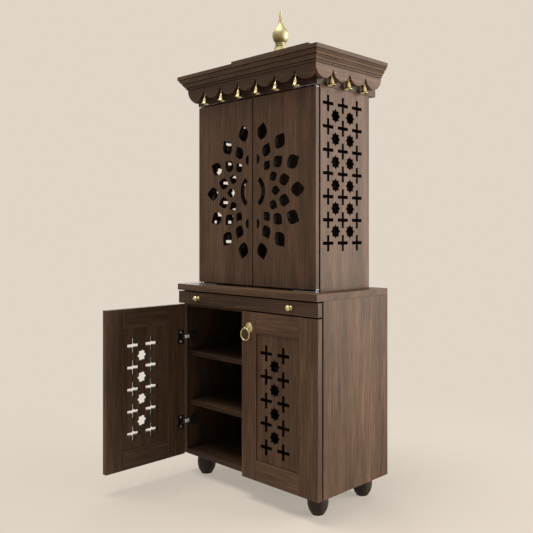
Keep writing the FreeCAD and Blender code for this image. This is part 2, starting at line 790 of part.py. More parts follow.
def lower_doors():
    meeting_low = f"({DOOR_WIDTH} - meeting_stile)"
    top_level = f"({DOOR_HEIGHT} - door_rail)"
    cups = [hinge_cup("cup_lower", CUP_LEVELS[0]), hinge_cup("cup_upper", CUP_LEVELS[1])]
    groove_at = f"(hinge_stile - {GROOVE_DEEP})"
    stiles = [
        stile("leaf_hinge_stile", "0", "hinge_stile", groove_at, True),
        stile("leaf_meeting_stile", meeting_low, "meeting_stile", meeting_low, False),
    ]
    rails = [
        rail("leaf_top_rail", top_level, top_level),
        rail("leaf_bottom_rail", "0", f"(door_rail - {GROOVE_DEEP})"),
    ]
    leaf = {
        "stiles": group("leaf_stiles", stiles),
        "rails": group("leaf_rails", rails),
        "lattice_panel": door_panel("leaf_lattice_panel"),
        "hinge_cups": group("leaf_hinge_cups", cups),
        "pull": pull("leaf_pull"),
        "pull_ring": ring("leaf_pull_ring"),
    }
    for piece, source in leaf.items():
        opened(f"left_door_{piece}", source)
        mirrored(f"right_door_{piece}", source)


def hinge_arm(name, level):
    """A mounting plate on the cabinet's side with an arm that ends in a round nose."""
    made = new_body(name, (f"-{HINGE_X}", HINGE_Y, f"foot_height + {level}"))
    arm = sketch_on(made, "XY_Plane", "-arm_height / 2")
    face = f"({NOSE_X} + arm_thick / 2)"
    near = f"({NOSE_X} - arm_thick / 2)"
    rectangle(arm, (near, NOSE_Y), (face, f"{NOSE_Y} + arm_length"))
    pad(made, arm, "arm_height")
    nose = sketch_on(made, "XY_Plane", "-arm_height / 2")
    disc(nose, NOSE_X, NOSE_Y, "nose_radius")
    pad(made, nose, "arm_height")
    plate = sketch_on(made, "XY_Plane", "-plate_height / 2")
    wall = "(carcass_board - hinge_inset)"
    low = (wall, "door_gap + hinge_depth + plate_setback")
    rectangle(plate, low, (near, f"{low[1]} + plate_width"))
    pad(made, plate, "plate_height")
    return made


def hinge_arms():
    arms = [hinge_arm(f"arm_{number}", level) for number, level in enumerate(CUP_LEVELS)]
    left = group("hinge_arms_left", arms)
    group("hinge_arms", [left, mirrored("hinge_arms_right", left)])


# The shrine on the counter: two plain doors with a lotus of cut petals, lattice sides

def petal(sketch, angle, size):
    """A bud-shaped hole that points away from the sketch's origin at an angle."""
    lower_side = [(PETAL_WIDEST, -1 / 2), (PETAL_SHOULDER, -PETAL_SHOULDER_REACH)]
    upper_side = [(along, -aside) for along, aside in reversed(lower_side)]
    corners = []
    for along, aside in [(0, 0), *lower_side, (1, 0), *upper_side]:
        far = f"({size}_radius + {size}_length * {along})"
        off = f"({size}_width * {aside})"
        x = f"{far} * cos({angle}) - {off} * sin({angle})"
        z = f"{far} * sin({angle}) + {off} * cos({angle})"
        corners.append((x, z))
    round_side = (f"{size}_width * {PETAL_ROUNDNESS}", 1)
    outline(sketch, corners, {0: round_side, 5: round_side})


PETAL_STEP = f"(360 / {PETAL_COUNT})"


def petal_ring(made, inward, size):
    """One ring of the lotus: a petal cut, then turned copies of it.

    inward is 0 on the outer ring. Each ring further in has half a petal less at each end.
    """
    sketch = sketch_on(made, "XZ_Plane", "0", (SHRINE_HALF, LOTUS_LEVEL))
    petal(sketch, f"(90 + {(inward + 1) / 2} * {PETAL_STEP})", size)
    copies = PETAL_COUNT // 2 - inward
    hole = pocket(made, sketch, "shrine_door_thick")
    pattern = made.newObject("PartDesign::PolarPattern", made.Name + "_ring")
    pattern.Originals = [hole]
    pattern.Axis = (sketch, ["N_Axis"])
    pattern.setExpression("Angle", bound(f"{copies - 1} * {PETAL_STEP}"))
    pattern.Occurrences = copies
    made.Tip = pattern


def shrine_door(name):
    """The left leaf of the shrine: a plain board with its half of the lotus."""
    made = new_body(name, (f"-{SHRINE_HALF}", SHRINE_FRONT, SHRINE_DOOR_BOTTOM))
    blank = sketch_on(made, "XZ_Plane")
    rectangle(blank, ("0", "0"), (SHRINE_DOOR_WIDTH, "shrine_door_height"))
    pad(made, blank, "shrine_door_thick", True)
    for inward, size in enumerate(("petal_outer", "petal_middle", "petal_inner")):
        petal_ring(made, inward, size)
    openings = sketch_on(made, "XZ_Plane", "0", (SHRINE_HALF, LOTUS_LEVEL))
    half_petals(openings)
    crescent(openings)
    pocket(made, openings, "shrine_door_thick")
    for level, upward in (("0", True), ("shrine_door_height", False)):
        rebate = sketch_on(made, "XY_Plane", level)
        rectangle(rebate, ("0", "door_plate_setback"), ("pivot_plate_length", "shrine_door_thick"))
        pocket(made, rebate, "pivot_plate_thick", upward)
        bore = sketch_on(made, "XY_Plane", level)
        disc(bore, "pivot_inset", "shrine_door_thick / 2", "pivot_pin_radius + pivot_play")
        pocket(made, bore, "pivot_pin_length", upward)
    return made


def half_petals(sketch):
    """The two inner petals beside the meeting edge, cut straight along it."""
    edge = "-meeting_margin"
    top = "(half_petal_low + half_petal_height)"
    outline(sketch, [(edge, top), (edge, "half_petal_low")], {0: ("half_petal_bulge", 1)})
    outline(sketch, [(edge, "-half_petal_low"), (edge, f"-{top}")], {0: ("half_petal_bulge", 1)})


def crescent(sketch):
    """A curved slot round the lotus centre, which the fingers pull."""
    corners = []
    for radius, turns in (("outer", (-1, 1)), ("inner", (1, -1))):
        sign = "+" if radius == "outer" else "-"
        reach = f"(crescent_radius {sign} crescent_width / 2)"
        for turn in turns:
            angle = f"(180 + {turn} * crescent_half_angle)"
            corners.append((f"{reach} * cos({angle})", f"{reach} * sin({angle})"))
    outer = ("crescent_radius + crescent_width / 2", 1)
    inner = ("crescent_radius - crescent_width / 2", -1)
    outline(sketch, corners, {0: outer, 2: inner})


def shrine_side(name):
    """The left side board of the shrine with its lattice."""
    made = new_body(name, (f"-{SHRINE_HALF}", SHRINE_SIDE_FRONT, "counter_top_level"))
    height = f"({FRIEZE_BOTTOM} - counter_top_level)"
    blank = sketch_on(made, "YZ_Plane")
    rectangle(blank, ("0", "0"), (f"{SHRINE_BACK} - {SHRINE_SIDE_FRONT}", height))
    pad(made, blank, "shrine_board")
    first_y = f"(side_jali_from_front + {SHRINE_FRONT} - {SHRINE_SIDE_FRONT})"
    first_z = f"({height} - side_jali_drop - {SIDE_ROW_COUNT - 1} * side_jali_pitch)"
    first = (first_y, first_z)
    lattice(made, "YZ_Plane", first, "side_jali_pitch", SIDE_COLUMN_COUNT, SIDE_ROW_COUNT, "shrine_board", True)
    return made


PLATE_SIZE = ("pivot_plate_length", "shrine_door_thick", "pivot_plate_thick")


def fixed_plate(name, low):
    """A plate's block at the shrine's front left corner, from its lower side."""
    return board(name, (f"-{SHRINE_HALF}", SHRINE_FRONT, low), PLATE_SIZE)


def pivot_plate(name, plate_low, pin_low):
    """A steel plate with the pin that the shrine's left door turns on."""
    plate = fixed_plate(name + "_plate", plate_low)
    foot = (f"-{PIVOT_X}", PIVOT_Y, pin_low)
    pin = bar(name + "_pin", foot, "pivot_pin_radius", "pivot_pin_length", ROUND_SIDE_COUNT)
    return joined(name, [plate, pin])


def door_plate(name, low):
    """The plate let into the end of the shrine's left door, drilled for the pin."""
    corner = (f"-{SHRINE_HALF}", f"{SHRINE_FRONT} + door_plate_setback", low)
    size = ("pivot_plate_length", "shrine_door_thick - door_plate_setback", "pivot_plate_thick")
    plate = board(name + "_plate", corner, size)
    bore_radius = "pivot_pin_radius + pivot_play"
    foot = (f"-{PIVOT_X}", PIVOT_Y, low)
    bore = bar(name + "_bore", foot, bore_radius, "pivot_plate_thick", ROUND_SIDE_COUNT)
    return cut(name, plate, bore)


def shrine():
    door = shrine_door("shrine_door_left")
    mirrored("shrine_door_right", door)
    side = shrine_side("shrine_side_left")
    group("shrine_sides", [side, mirrored("shrine_side_right", side)])
    inner_width = f"2 * {SHRINE_INNER}"
    corner = (f"-{SHRINE_INNER}", f"{SHRINE_BACK} - back_board", "counter_top_level")
    board("shrine_back", corner, (inner_width, "back_board", f"{FRIEZE_BOTTOM} - counter_top_level"))
    lower = pivot_plate("pivot_lower", "counter_top_level", "counter_top_level")
    upper = pivot_plate("pivot_upper", FRIEZE_BOTTOM, f"{FRIEZE_BOTTOM} - pivot_pin_length")
    left_pivots = group("pivots_left", [lower, upper])
    group("shrine_pivots", [left_pivots, mirrored("pivots_right", left_pivots)])
    foot_plate = door_plate("door_plate_lower", SHRINE_DOOR_BOTTOM)
    head_plate = door_plate("door_plate_upper", f"{SHRINE_DOOR_TOP} - pivot_plate_thick")
    plates = group("shrine_door_plates_left", [foot_plate, head_plate])
    mirrored("shrine_door_plates_right", plates)


# The crown: a box frieze, a scalloped valance hung with bells, a moulded cornice,
# a raised platform and a turned finial

def frieze():
    inner = f"({SHRINE_HALF} - shrine_board)"
    side_depth = f"({BACK} - {SHRINE_DOOR_BACK})"
    front_size = (f"2 * {FRIEZE_HALF}", "shrine_door_thick", "frieze_height")
    blank = board("frieze_blank", (f"-{FRIEZE_HALF}", SHRINE_FRONT, FRIEZE_BOTTOM), front_size)
    rebate = fixed_plate("frieze_rebate_left", FRIEZE_BOTTOM)
    cut("frieze_front", blank, group("frieze_rebates", [rebate, mirrored("frieze_rebate_right", rebate)]))
    side_size = ("shrine_board + frieze_proud", side_depth, "frieze_height")
    sides = []
    for name, low in (("left", f"-{FRIEZE_HALF}"), ("right", inner)):
        sides.append(board(f"frieze_{name}", (low, SHRINE_DOOR_BACK, FRIEZE_BOTTOM), side_size))
    group("frieze_sides", sides)
    ceiling_size = (f"2 * {inner}", f"{side_depth} - back_board", "ceiling_thick")
    board("shrine_ceiling", (f"-{inner}", SHRINE_DOOR_BACK, FRIEZE_BOTTOM), ceiling_size)
    back_corner = (f"-{inner}", f"{BACK} - back_board", FRIEZE_BOTTOM)
    board("frieze_back", back_corner, (f"2 * {inner}", "back_board", "frieze_height"))


VALANCE_DROP = "(valance_height - valance_strip)"
VALANCE_DEPTH = f"({BACK} - {VALANCE_FRONT})"
CORNICE_HALF = f"({VALANCE_HALF} + cornice_reach)"
CORNICE_FRONT = f"({VALANCE_FRONT} - cornice_reach)"


def scallop_radius(pitch):
    return f"((({pitch} / 2)^2 + {VALANCE_DROP}^2) / (2 * {VALANCE_DROP}))"


def scallops(sketch, length, count):
    """A board's outline whose lower edge is a row of round scallops with cusps between."""
    pitch = f"({length} / {count})"
    corners = [(f"{number} * {pitch}", VALANCE_DROP) for number in range(count + 1)]
    corners += [(length, "valance_height"), ("0", "valance_height")]
    arc = (scallop_radius(pitch), 1)
    outline(sketch, corners, {number: arc for number in range(count)})


def mitre(made, corners, height):
    """A corner cut off at half a right angle, through the full height."""
    sketch = sketch_on(made, "XY_Plane")
    outline(sketch, corners)
    pocket(made, sketch, height, True)


def front_mitres(made, length, depth, height):
    mitre(made, [("0", "0"), (depth, depth), ("0", depth)], height)
    mitre(made, [(length, "0"), (length, depth), (f"{length} - {depth}", depth)], height)


def side_mitre(made, depth, height):
    mitre(made, [("0", "0"), (depth, "0"), (depth, depth)], height)


def valance():
    length = f"(2 * {VALANCE_HALF})"
    low = f"{FRIEZE_TOP} - valance_height"
    front = new_body("valance_front", (f"-{VALANCE_HALF}", VALANCE_FRONT, low))
    sketch = sketch_on(front, "XZ_Plane")
    scallops(sketch, length, FRONT_SCALLOP_COUNT)
    pad(front, sketch, "valance_thick", True)
    front_mitres(front, length, "valance_thick", "valance_height")
    side = new_body("valance_left", (f"-{VALANCE_HALF}", VALANCE_FRONT, low))
    sketch = sketch_on(side, "YZ_Plane")
    scallops(sketch, VALANCE_DEPTH, SIDE_SCALLOP_COUNT)
    pad(side, sketch, "valance_thick")
    side_mitre(side, "valance_thick", "valance_height")
    group("valance_sides", [side, mirrored("valance_right", side)])


def cornice_profile(sketch):
    """An upright fascia, sloping bands with a small lip, and a bead, each under a groove."""
    members = "(cornice_height - cornice_fascia - cornice_bead)"
    rise = f"(({members} - {BAND_COUNT + 2} * cornice_groove) / {BAND_COUNT})"
    corners = [("0", "cornice_height"), ("0", "cornice_height - cornice_fascia")]
    for band in range(BAND_COUNT + 1):
        face = f"({band + 1} * cornice_step + {band} * cornice_slope)"
        top = f"(cornice_height - cornice_fascia - {band + 1} * cornice_groove - {band} * {rise})"
        corners.append((f"{face} + cornice_groove_depth", f"{top} + cornice_groove"))
        corners.append((f"{face} + cornice_groove_depth", top))
        corners.append((face, top))
        if band < BAND_COUNT:
            corners.append((f"{face} + cornice_slope", f"{top} - {rise} + cornice_lip"))
            corners.append((f"{face} + cornice_slope", f"{top} - {rise}"))
    corners.append((face, "cornice_groove"))
    corners.append((f"{face} + cornice_groove_depth", "cornice_groove"))
    corners.append((f"{face} + cornice_groove_depth", "0"))
    outline(sketch, corners + [(CORNICE_DEPTH, "0"), (CORNICE_DEPTH, "cornice_height")])


def cornice():
    length = f"(2 * {CORNICE_HALF})"
    corner = (f"-{CORNICE_HALF}", CORNICE_FRONT, FRIEZE_TOP)
    front = new_body("cornice_front", corner)
    sketch = sketch_on(front, "YZ_Plane")
    cornice_profile(sketch)
    pad(front, sketch, length)
    front_mitres(front, length, CORNICE_DEPTH, "cornice_height")
    side = new_body("cornice_left", corner)
    sketch = sketch_on(side, "XZ_Plane")
    cornice_profile(sketch)
    pad(side, sketch, f"{BACK} - {CORNICE_FRONT}", True)
    side_mitre(side, CORNICE_DEPTH, "cornice_height")
    group("cornice_sides", [side, mirrored("cornice_right", side)])
    inner_size = (f"2 * {CORNICE_INNER_HALF}", f"{BACK} - {CORNICE_INNER_FRONT}", "soffit_thick")
    low_x = f"-{CORNICE_INNER_HALF}"
    soffit = board("crown_soffit", (low_x, CORNICE_INNER_FRONT, FRIEZE_TOP), inner_size)
    lid_low = f"{CROWN_TOP} - soffit_thick"
    lid = board("crown_lid", (low_x, CORNICE_INNER_FRONT, lid_low), inner_size)
    group("crown_boards", [soffit, lid])


def platform():
    low_y = f"{CROWN_MIDDLE} - platform_depth / 2"
    outer_size = ("platform_width", "platform_depth", "platform_height")
    outer = board("platform_blank", ("-platform_width / 2", low_y, CROWN_TOP), outer_size)
    hollow_corner = ("-platform_width / 2 + platform_wall", f"{low_y} + platform_wall", CROWN_TOP)
    hollow_size = tuple(f"{side} - {share} * platform_wall" for side, share in zip(outer_size, (2, 2, 1)))
    hollow = board("platform_hollow", hollow_corner, hollow_size)
    cut("crown_platform", outer, hollow)


def finial():
    """A water-pot finial: flared foot, two beads, and a bulb drawn out into a spire."""
    profile = [
        ("finial_base_radius", "0"),
        ("finial_base_radius", "finial_base_height"),
        ("finial_flare_radius", "finial_flare_level"),
    ]
    level = "finial_flare_level"
    for bead in range(2):
        profile.append(("finial_groove_radius", f"({level} + finial_groove_height / 2)"))
        profile.append(("finial_bead_radius", f"({level} + finial_groove_height)"))
        level = f"({level} + finial_groove_height + finial_bead_height)"
        profile.append(("finial_bead_radius", level))
    profile.append(("finial_groove_radius", f"({level} + finial_groove_height / 2)"))
    for reach, share in BULB_SHAPE:
        profile.append((f"(finial_bulb_radius * {reach})", f"({level} + finial_bulb_height * {share})"))
    profile += [
        ("finial_spire_radius", f"({level} + finial_bulb_height)"),
        ("finial_tip_radius", "(finial_height - finial_tip_height)"),
        ("finial_point_radius", "finial_height"),
    ]
    turned = flat_turned("finial_turned", profile, FINIAL_SIDE_COUNT)
    moved("finial", turned, ("0", CROWN_MIDDLE, f"{CROWN_TOP} + platform_height"))


BELL_LOW = f"({SHRINE_DOOR_TOP} + moving_gap)"
CUSP_LEVEL = f"({FRIEZE_TOP} - valance_strip)"


def hook_top(pitch):
    """The level where the notch between two scallops is just as wide as the hook."""
    rise = f"({scallop_radius(pitch)} - {VALANCE_DROP})"
    return f"({CUSP_LEVEL} - bell_hook_radius * {pitch} / (2 * {rise}))"


def bell(name, pitch):
    """A small flared bell, open below, with the hook that it hangs from."""
    outer = [
        ("bell_radius", "0"),
        ("bell_flare", "bell_flare_level"),
        ("bell_waist", "bell_waist_level"),
        ("bell_shoulder", "bell_shoulder_level"),
        ("bell_crown", "bell_height"),
    ]
    inner = [
        ("(bell_radius - bell_wall)", "0"),
        ("(bell_flare - bell_wall)", "bell_flare_level"),
        ("(bell_waist - bell_wall)", "bell_waist_level"),
        ("(bell_shoulder - bell_wall)", "(bell_shoulder_level - bell_wall)"),
    ]
    cup = cut(name + "_cup", flat_turned(name + "_outer", outer, BELL_SIDE_COUNT),
              flat_turned(name + "_inner", inner, BELL_SIDE_COUNT))
    low = "(bell_height - bell_wall)"
    length = f"{hook_top(pitch)} - {BELL_LOW} - {low}"
    return joined(name, [cup, bar(name + "_hook", ("0", "0", low), "bell_hook_radius", length, HOOK_SIDE_COUNT)])


def bells():
    """Six bells under the front cusps and three under each side's cusps."""
    depth_in = "valance_thick / 2"
    pitch = f"(2 * {VALANCE_HALF} / {FRONT_SCALLOP_COUNT})"
    hung = bell("bell_front", pitch)
    row = []
    for number in range(1, FRONT_SCALLOP_COUNT):
        corner = (f"-{VALANCE_HALF} + {number} * {pitch}", f"{VALANCE_FRONT} + {depth_in}", BELL_LOW)
        row.append(moved(f"bell_front_{number}", hung, corner))
    pitch = f"({VALANCE_DEPTH} / {SIDE_SCALLOP_COUNT})"
    hung = bell("bell_side", pitch)
    side = []
    for number in range(1, SIDE_SCALLOP_COUNT):
        corner = (f"-{VALANCE_HALF} + {depth_in}", f"{VALANCE_FRONT} + {number} * {pitch}", BELL_LOW)
        side.append(moved(f"bell_left_{number}", hung, corner))
    left = group("bells_left", side)
    group("bells", row + [left, mirrored("bells_right", left)])


NODES = [
    "side_panels", "cabinet_bottom", "cabinet_back", "shelves", "tray_divider", "counter_top",
    "feet", "drawer_face", "drawer_sides", "drawer_back", "drawer_bottom", "drawer_knobs",
    "tray_runners", "hinge_arms", "shrine_door_left", "shrine_door_right", "shrine_sides",
    "shrine_back", "shrine_pivots", "shrine_door_plates_left", "shrine_door_plates_right",
    "frieze_front", "frieze_sides", "frieze_back", "shrine_ceiling", "valance_front",
    "valance_sides", "cornice_front", "cornice_sides", "crown_boards", "crown_platform",
    "finial", "bells",
]
LEAF_PIECES = ["stiles", "rails", "lattice_panel", "hinge_cups", "pull", "pull_ring"]
for side_name in ("left", "right"):
    NODES += [f"{side_name}_door_{piece}" for piece in LEAF_PIECES]


def write_parts():
    """Check every object, then write each node's shape to its own file."""
    for made in doc.Objects:
        if "Invalid" in made.State or "Error" in made.State:
            raise SystemExit(f"{made.Name} failed: {made.State}")
    os.makedirs("parts", exist_ok=True)
    for label in NODES:
        shape = doc.getObjectsByLabel(label)[0].Shape
        if shape.isNull() or not shape.isValid() or not shape.Solids:
            raise SystemExit(f"{label} has no valid shape")
        shape.exportStep(f"parts/{label}.step")


lower_cabinet()
tray()
lower_doors()
hinge_arms()
shrine()
frieze()
valance()
cornice()
platform()
finial()
bells()
doc.recompute()
write_parts()
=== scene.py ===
import math
import bmesh
import bpy
from mathutils import Matrix, Vector

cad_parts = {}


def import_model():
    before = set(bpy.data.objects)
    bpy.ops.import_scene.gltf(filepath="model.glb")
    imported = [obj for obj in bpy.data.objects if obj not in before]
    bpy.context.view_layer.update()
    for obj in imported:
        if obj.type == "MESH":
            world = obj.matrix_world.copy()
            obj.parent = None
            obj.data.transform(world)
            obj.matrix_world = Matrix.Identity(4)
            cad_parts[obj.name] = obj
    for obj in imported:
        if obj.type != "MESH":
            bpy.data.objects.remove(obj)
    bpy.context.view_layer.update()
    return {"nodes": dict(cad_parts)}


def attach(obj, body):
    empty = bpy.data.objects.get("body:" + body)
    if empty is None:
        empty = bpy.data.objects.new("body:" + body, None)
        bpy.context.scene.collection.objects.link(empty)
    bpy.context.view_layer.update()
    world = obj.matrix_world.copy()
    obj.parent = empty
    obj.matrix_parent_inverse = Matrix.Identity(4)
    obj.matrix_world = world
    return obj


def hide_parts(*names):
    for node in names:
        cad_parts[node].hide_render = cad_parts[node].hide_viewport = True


# A floor-standing cabinet shrine in stained walnut with brass bells, knobs, rings and finial.
# Lengths are in metres, angles in degrees and colours in linear light, unless a name says otherwise.

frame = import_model()
NODES = frame["nodes"]

# Camera

CAMERA_PLACE = (1.9213, -2.0131, 0.9968)
CAMERA_LEVEL = 90
CAMERA_HEADING = 44.86
CAMERA_LENS_MM = 46.95
SENSOR_MM = 36.0
CAMERA_LIFT = -0.0618

# Stage and light

BACKDROP = (0.745, 0.665, 0.571)
FLOOR_COLOUR = (0.69, 0.615, 0.53)
FLOOR_ROUGHNESS = 0.9
# Painted shade: the floor's glow has this darker colour near the object, fading to the backdrop's colour
# further out
NEAR_GLOW_PAINTED_SHADE = (0.665, 0.590, 0.508)
GLOW_SHARE = 0.55
FLOOR_REACH = 14.0
FLOOR_SIDES = 96
FLOOR_FADE = (0.35, 2.0)
AMBIENT = (0.90, 0.93, 1.0)
AMBIENT_STRENGTH = 0.36
LAMPS = {
    "key": {"place": (3.4, 2.5, 1.55), "target": (0.3, 0.0, 0.95), "size": 3.0, "watts": 248.0,
            "colour": (1.0, 0.955, 0.91)},
    "top": {"place": (-0.8, -1.5, 6.6), "target": (0.0, -0.2, 0.6), "size": 3.0, "watts": 340.0,
            "colour": (1.0, 0.95, 0.88)},
    "rear": {"place": (-3.0, 2.4, 2.6), "target": (0.0, 0.0, 0.9), "size": 2.2, "watts": 50.0,
             "colour": (0.96, 0.98, 1.0)},
}

# Noise: how far each layer is drawn out along the grain, and its scale across it

CLOUDS = {"stretch": 0.09, "scale": 17.0, "detail": 4.0, "roughness": 0.6}
BANDS = {"stretch": 0.040, "scale": 130.0, "detail": 4.0, "roughness": 0.66, "distortion": 0.5}
STREAKS = {"stretch": 0.018, "scale": 300.0, "detail": 3.0, "roughness": 0.65}
PORES = {"stretch": 0.018, "scale": 640.0, "detail": 2.0, "roughness": 0.5}
FLECKS = {"stretch": 0.085, "scale": 240.0, "detail": 3.0, "roughness": 0.6}
TURNED_STREAKS = {"stretch": 0.06, "scale": 60.0, "detail": 4.0}
BRASS_PATCHES = {"detail": 4.0, "roughness": 0.6}
POLISH_MARKS = {"stretch": 0.12, "scale": 900.0, "detail": 2.0}
BRUSH_MARKS = {"stretch": 0.05, "scale": 800.0, "detail": 3.0}
STEEL_HAZE = {"scale": 30.0, "detail": 3.0}
SEED_STEPS = (3.7, 1.9, 5.3)
FLECK_SEED_STEP = 3

# Walnut

WALNUT_DARK = (0.036, 0.0200, 0.0110)
WALNUT_MID = (0.086, 0.047, 0.026)
WALNUT_LIGHT = (0.180, 0.104, 0.060)
WALNUT_RUSSET = (0.170, 0.074, 0.032)
WALNUT_ASH = (0.130, 0.100, 0.078)
BAND_WEIGHT = 0.34
STREAK_WEIGHT = 0.30
CLOUD_WEIGHT = 0.36
GRAIN_STOPS = (0.36, 0.50, 0.66)
RUSSET_RAMP = ((0.56, 0.0), (0.72, 0.55))
ASH_RAMP = ((0.26, 0.4), (0.37, 0.0))
PORE_RAMP = ((0.32, 0.45), (0.44, 1.0))
EDGE_PALING_SHARE = 0.25
WALNUT_GLOSS = 0.20
WALNUT_ROUGHNESS = ((0.3, 0.42), (0.7, 0.56))
WALNUT_BUMP = {"depth": 0.0005, "strength": 0.5}
STREAK_HEIGHT = 0.6
PORE_HEIGHT = 0.4

# Shade in creases, in cut-outs and on inner faces

CREASE_REACH = 0.012
CREASE_SAMPLES = 6
CREASE_STOPS = (0.35, 0.85)
CREASE_SHADE = 0.15
LIGHT_CREASES = {"side_panels": 0.75, "shrine_sides": 0.75}
HOLE_SHADE = 0.10
WALL_LEAN = 0.5
EDGE_MARGIN = 0.002
INNER_SHADE = 0.50
INNER_FACES = {"side_panels": 0.0005}

# Feet

STAIN_BLACK = (0.021, 0.014, 0.011)
STAIN_BROWN = (0.042, 0.028, 0.022)
STAIN_STOPS = (0.3, 0.7)
STAIN_GLOSS = 0.2
STAIN_ROUGHNESS = ((0.2, 0.42), (0.8, 0.58))
STAIN_BUMP = {"depth": 0.0008, "strength": 0.3}

# Brass

BRASS_COLOUR = (0.72, 0.66, 0.36)
FINIAL_COLOUR = (0.56, 0.53, 0.32)
BELL_COLOUR = (0.95, 0.84, 0.46)
# Dull brass: the colour of tarnished patches, and of the painted shade where brass faces down
BRASS_TARNISH_AND_SHADE = (0.22, 0.175, 0.065)
TARNISH_RAMP = ((0.42, 0.0), (0.70, 0.75))
# Painted shade where brass faces down: where it starts and how dark it gets
UNDERSIDE_PAINTED_SHADE_RAMP = ((0.10, 0.0), (0.90, 0.65))
PATCH_ROUGHNESS = 0.20
MARK_ROUGHNESS = 0.12
BRASS_BUMP = {"depth": 0.0001, "strength": 0.25}

# Steel

STEEL_COLOUR = (0.30, 0.33, 0.37)
# Painted highlight: near-white, barely metallic steel where the hinges and screws show highlights
PAINTED_HIGHLIGHT_STEEL = (0.92, 0.92, 0.90)
# Painted shade: near-black steel on the hinges, for their shade and the dark they reflect
PAINTED_SHADE_STEEL = (0.07, 0.07, 0.075)
HAZE_TONE = 0.62
PAINTED_HIGHLIGHT_METAL = 0.25
ARM_METAL = 0.8
# Painted highlight at the front ends of the hinge arms: its metal level and its reach
NOSE_HIGHLIGHT_METAL = 0.2
NOSE_HIGHLIGHT_REACH = 0.020
STEEL_ROUGHNESS = ((0.2, 0.36), (0.8, 0.54))
STEEL_BUMP = {"depth": 0.0001, "strength": 0.3}

# How the boards' grain runs, how much lighter or darker each board is painted (mostly painted light and
# shade, in part the board's own tone), and which way the pierced ones face

GRAIN = {
    "Z": [
        "side_panels", "cabinet_back", "shrine_back", "shrine_sides", "shrine_door_left",
        "shrine_door_right", "left_door_stiles", "right_door_stiles", "left_door_lattice_panel",
        "right_door_lattice_panel",
    ],
    "X": [
        "cabinet_bottom", "shelves", "tray_divider", "counter_top", "drawer_face", "drawer_back",
        "drawer_bottom", "frieze_front", "frieze_back", "shrine_ceiling", "valance_front",
        "cornice_front", "crown_boards", "crown_platform", "right_door_rails",
    ],
    "Y": ["drawer_sides", "frieze_sides", "valance_sides", "cornice_sides", "left_door_rails"],
}
# Factors for each board's colour: mostly painted light and shade, in part the board's own tone
PAINTED_LIGHT_AND_TONE = {
    "cabinet_back": 0.80, "shelves": 0.45, "cabinet_bottom": 0.50, "tray_divider": 0.55,
    "drawer_face": 0.78, "shrine_back": 0.55, "shrine_ceiling": 0.6, "shrine_sides": 1.10,
    "cornice_front": 0.80, "valance_front": 0.78, "valance_sides": 1.15, "frieze_front": 0.45,
    "frieze_sides": 0.75, "left_door_stiles": 0.84, "left_door_rails": 0.80,
    "left_door_lattice_panel": 0.84, "right_door_rails": 1.15, "right_door_lattice_panel": 0.92,
}
PIERCED = {
    "shrine_door_left": "Y", "shrine_door_right": "Y", "shrine_sides": "X",
    "left_door_lattice_panel": "X", "right_door_lattice_panel": "Y",
}
STEEL_NODES = [
    "hinge_arms", "left_door_hinge_cups", "right_door_hinge_cups", "shrine_pivots",
    "shrine_door_plates_left", "shrine_door_plates_right", "tray_runners",
]

# Eased edges

BOARD_EASING = 0.0011
PANEL_EASING = 0.0001
METAL_EASING = 0.0003
# The hinge cups' eased strip is wider, to carry their painted highlight
CUP_EASING = 0.0014
EASED_ABOVE = 30
EASING_STEPS = 2
WELD_REACH = 1e-5
SAME_POINT = 1e-6
FLAT_WITHIN = 0.5

# Turned pieces. A profile is a row of stretches, each a row of radius and level in millimetres.

MM = 0.001
TURNED_SIDES = 56
SMALL_SIDES = 32
CLAPPER_SIDES = 16
HOOK_SIDES = 12
SCREW_SIDES = 16
CURVE_STEPS = 5
SHARP_ABOVE = 32

FOOT_PROFILE = [
    [(0.5, 0), (21, 0)],
    [(21, 0), (23, 1.2), (25.5, 6), (30.5, 14), (34, 22), (37.1, 34), (38, 46), (37.6, 56), (36.5, 64),
     (34.4, 74), (31, 81)],
    [(31, 81), (0.5, 81)],
]
FINIAL_PROFILE = [
    [(0.5, 0), (31, 0)],
    [(31, 0), (31, 7), (30.4, 9)],
    [(30.4, 9), (28.6, 14), (26.8, 22), (25.4, 29), (25, 33)],
    [(25, 33), (21, 34.2), (18.8, 34.8)],
    [(18.8, 36), (20.8, 36.8), (21.5, 39), (20.8, 41.2), (18.8, 42)],
    [(18.6, 44.4), (20.8, 45.2), (21.5, 47.5), (20.8, 49.6), (18.6, 50.4)],
    [(18.6, 51.6), (23.5, 55), (29.2, 63), (32.3, 72.5), (33, 82), (31.8, 91.5), (28, 100.5), (22, 109),
     (16, 116), (11.8, 123), (9.2, 131), (7.6, 142), (6.2, 156), (4.9, 170), (4.4, 176)],
    [(4.4, 176), (3.8, 179.6), (0.4, 181)],
]
KNOB_PROFILE = [
    [(0.4, 0), (8.5, 0)],
    [(8.5, 0), (8.5, 1.6), (7.9, 2.4)],
    [(7.9, 2.4), (5.6, 4.4), (4.5, 7), (4.6, 10), (6.2, 12), (9.4, 13.6), (11, 15.6), (10.6, 18.2),
     (8.2, 21), (4.4, 23.4), (0.4, 24)],
]
BELL_PROFILE = [
    [(0.3, 27.6), (3.4, 26.8), (5.2, 23), (6.6, 16), (7.8, 11), (10.6, 5.4), (14.3, 0.6)],
    [(14.3, 0.6), (15, 0), (16, 0.2), (15.8, 1.4)],
    [(15.8, 1.4), (13.6, 4), (11.3, 8), (9.5, 13.5), (7.9, 19), (6.2, 24), (4.3, 28), (2.4, 30.8),
     (0.3, 32)],
]
CLAPPER_PROFILE = [[(0.3, 1), (2.2, 1.8), (3.0, 4), (2.2, 6.2), (0.7, 7), (0.6, 14), (0.6, 27.8)]]
